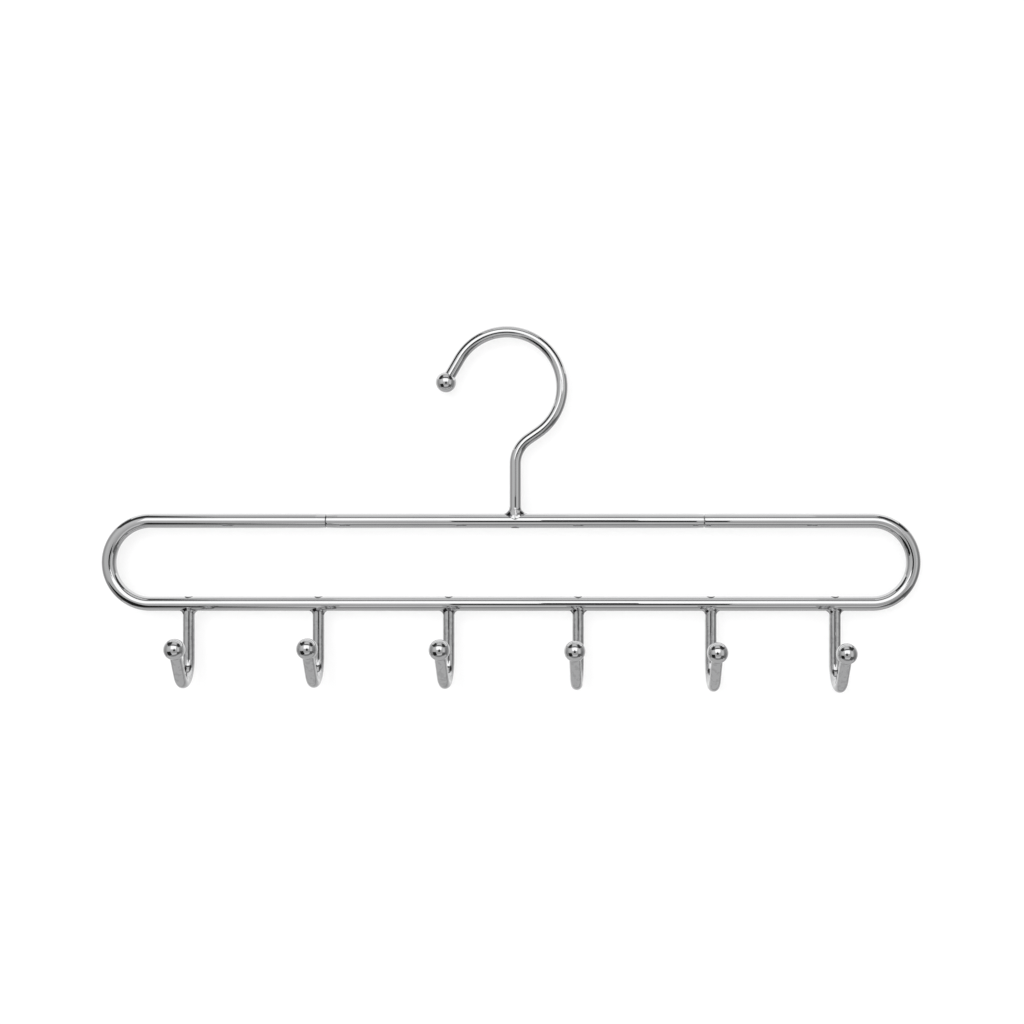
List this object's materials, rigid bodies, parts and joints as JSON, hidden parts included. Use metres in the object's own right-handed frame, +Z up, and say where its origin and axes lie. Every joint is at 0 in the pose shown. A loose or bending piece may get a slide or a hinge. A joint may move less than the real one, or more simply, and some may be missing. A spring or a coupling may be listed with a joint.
{
  "type": "multi-hook hanger",
  "caption": "Chrome closet hanger: a long round-ended bar loop under a ball-tipped hanging hook, with ball-tipped accessory hooks along its lower rail.",
  "frame": {"origin": "the highest point inside the hanging hook, where the hanger rests on a closet rail", "axes": "+X along the rails to the right, -Y to the front where the accessory hooks point, +Z up"},
  "size_m": [0.3998, 0.04, 0.1774],
  "materials": {
    "polished_chrome": "bright chrome plate on steel bar and rod",
    "weld_chrome": "chrome plate over a hand-dressed weld fillet, a little softer in gloss",
    "bare_steel": "plain drawn steel, hidden inside the butt joints"
  },
  "bodies": {
    "root": {"frame_loop": "polished_chrome", "centre_bar": "polished_chrome", "left_joint_dowel": "bare_steel", "right_joint_dowel": "bare_steel", "hanging_hook": "polished_chrome", "hanging_hook_ball": "polished_chrome", "hanging_hook_weld": "weld_chrome", "accessory_hook_1": "polished_chrome", "accessory_hook_2": "polished_chrome", "accessory_hook_3": "polished_chrome", "accessory_hook_4": "polished_chrome", "accessory_hook_5": "polished_chrome", "accessory_hook_6": "polished_chrome", "accessory_hook_ball_1": "polished_chrome", "accessory_hook_ball_2": "polished_chrome", "accessory_hook_ball_3": "polished_chrome", "accessory_hook_ball_4": "polished_chrome", "accessory_hook_ball_5": "polished_chrome", "accessory_hook_ball_6": "polished_chrome", "accessory_hook_weld_1": "weld_chrome", "accessory_hook_weld_2": "weld_chrome", "accessory_hook_weld_3": "weld_chrome", "accessory_hook_weld_4": "weld_chrome", "accessory_hook_weld_5": "weld_chrome", "accessory_hook_weld_6": "weld_chrome"}
  },
  "joints": []
}
